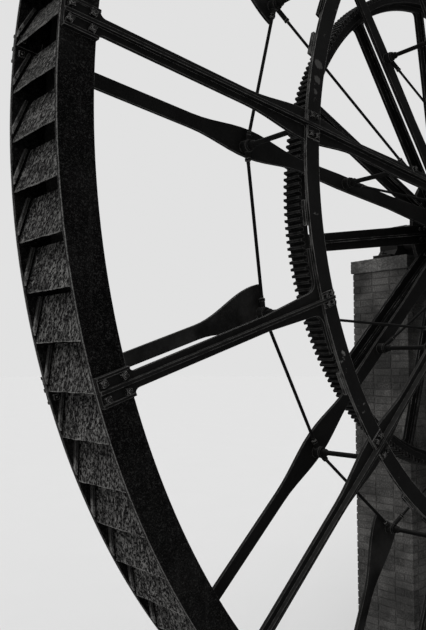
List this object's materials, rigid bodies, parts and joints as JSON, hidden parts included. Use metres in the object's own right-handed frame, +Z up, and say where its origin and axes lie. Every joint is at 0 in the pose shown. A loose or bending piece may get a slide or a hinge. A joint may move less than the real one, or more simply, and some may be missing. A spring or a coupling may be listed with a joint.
{
  "type": "water wheel",
  "caption": "Cast-iron water wheel with elbow buckets of iron plate and a spur gear on its axle, turning in plummer blocks on masonry piers.",
  "frame": {"origin": "on the pit floor under the middle of the box, below the axle", "axes": "+Z up; the axle runs along Y, with the side that has the ring of castings towards -Y; X lies across the axle"},
  "size_m": [10.972, 2.91, 11.126],
  "materials": {
    "masonry": "rough brick and rubble stone laid in courses, weathered",
    "capstone": "tooled stone, weathered",
    "bearing_brass": "dull bearing brass",
    "bolt_iron": "forged, greasy",
    "bearing_iron": "cast, old black paint",
    "axle_iron": "cast, old black paint, journals polished",
    "hub_iron": "cast, old black paint",
    "arm_iron": "cast, old black paint worn light at the edges",
    "ring_iron": "cast, flaking paint with pale scabs",
    "rod_iron": "wrought round bar, old black paint",
    "shroud_iron": "cast plate, rough rust under old paint",
    "sole_iron": "rolled plate, dry rust",
    "bucket_iron": "rolled plate, dry scaly rust with streaks down the slope",
    "cleat_iron": "cast strip, dry rust",
    "gear_iron": "cast, old grease"
  },
  "bodies": {
    "stand": {"near_footing": "masonry", "near_pier": "masonry", "near_capstone": "capstone", "near_bearing_base": "bearing_iron", "near_bearing_brasses": "bearing_brass", "near_bearing_cap": "bearing_iron", "near_bearing_bolts": "bolt_iron", "far_footing": "masonry", "far_pier": "masonry", "far_capstone": "capstone", "far_bearing_base": "bearing_iron", "far_bearing_brasses": "bearing_brass", "far_bearing_cap": "bearing_iron", "far_bearing_bolts": "bolt_iron"},
    "wheel": {"axle": "axle_iron", "near_hub": "hub_iron", "far_hub": "hub_iron", "gear_hub": "hub_iron", "near_long_arms": "arm_iron", "near_short_arms": "arm_iron", "far_long_arms": "arm_iron", "far_short_arms": "arm_iron", "near_ring": "ring_iron", "far_tie_rods": "rod_iron", "ring_struts": "rod_iron", "inner_struts": "rod_iron", "outer_diagonals": "rod_iron", "inner_diagonals": "rod_iron", "near_shroud_a": "shroud_iron", "near_shroud_b": "shroud_iron", "far_shroud_a": "shroud_iron", "far_shroud_b": "shroud_iron", "sole_a": "sole_iron", "sole_b": "sole_iron", "bucket_plates_a": "bucket_iron", "bucket_plates_b": "bucket_iron", "riser_plates_a": "bucket_iron", "riser_plates_b": "bucket_iron", "near_cleats": "cleat_iron", "far_cleats": "cleat_iron", "gear_rim_a": "gear_iron", "gear_rim_b": "gear_iron", "gear_arms": "gear_iron"}
  },
  "joints": [
    {"name": "wheel_spin", "type": "hinge", "parent": "stand", "child": "wheel", "pos_m": [0, 0, 5.64], "axis": [0, 1, 0], "continuous": true}
  ]
}
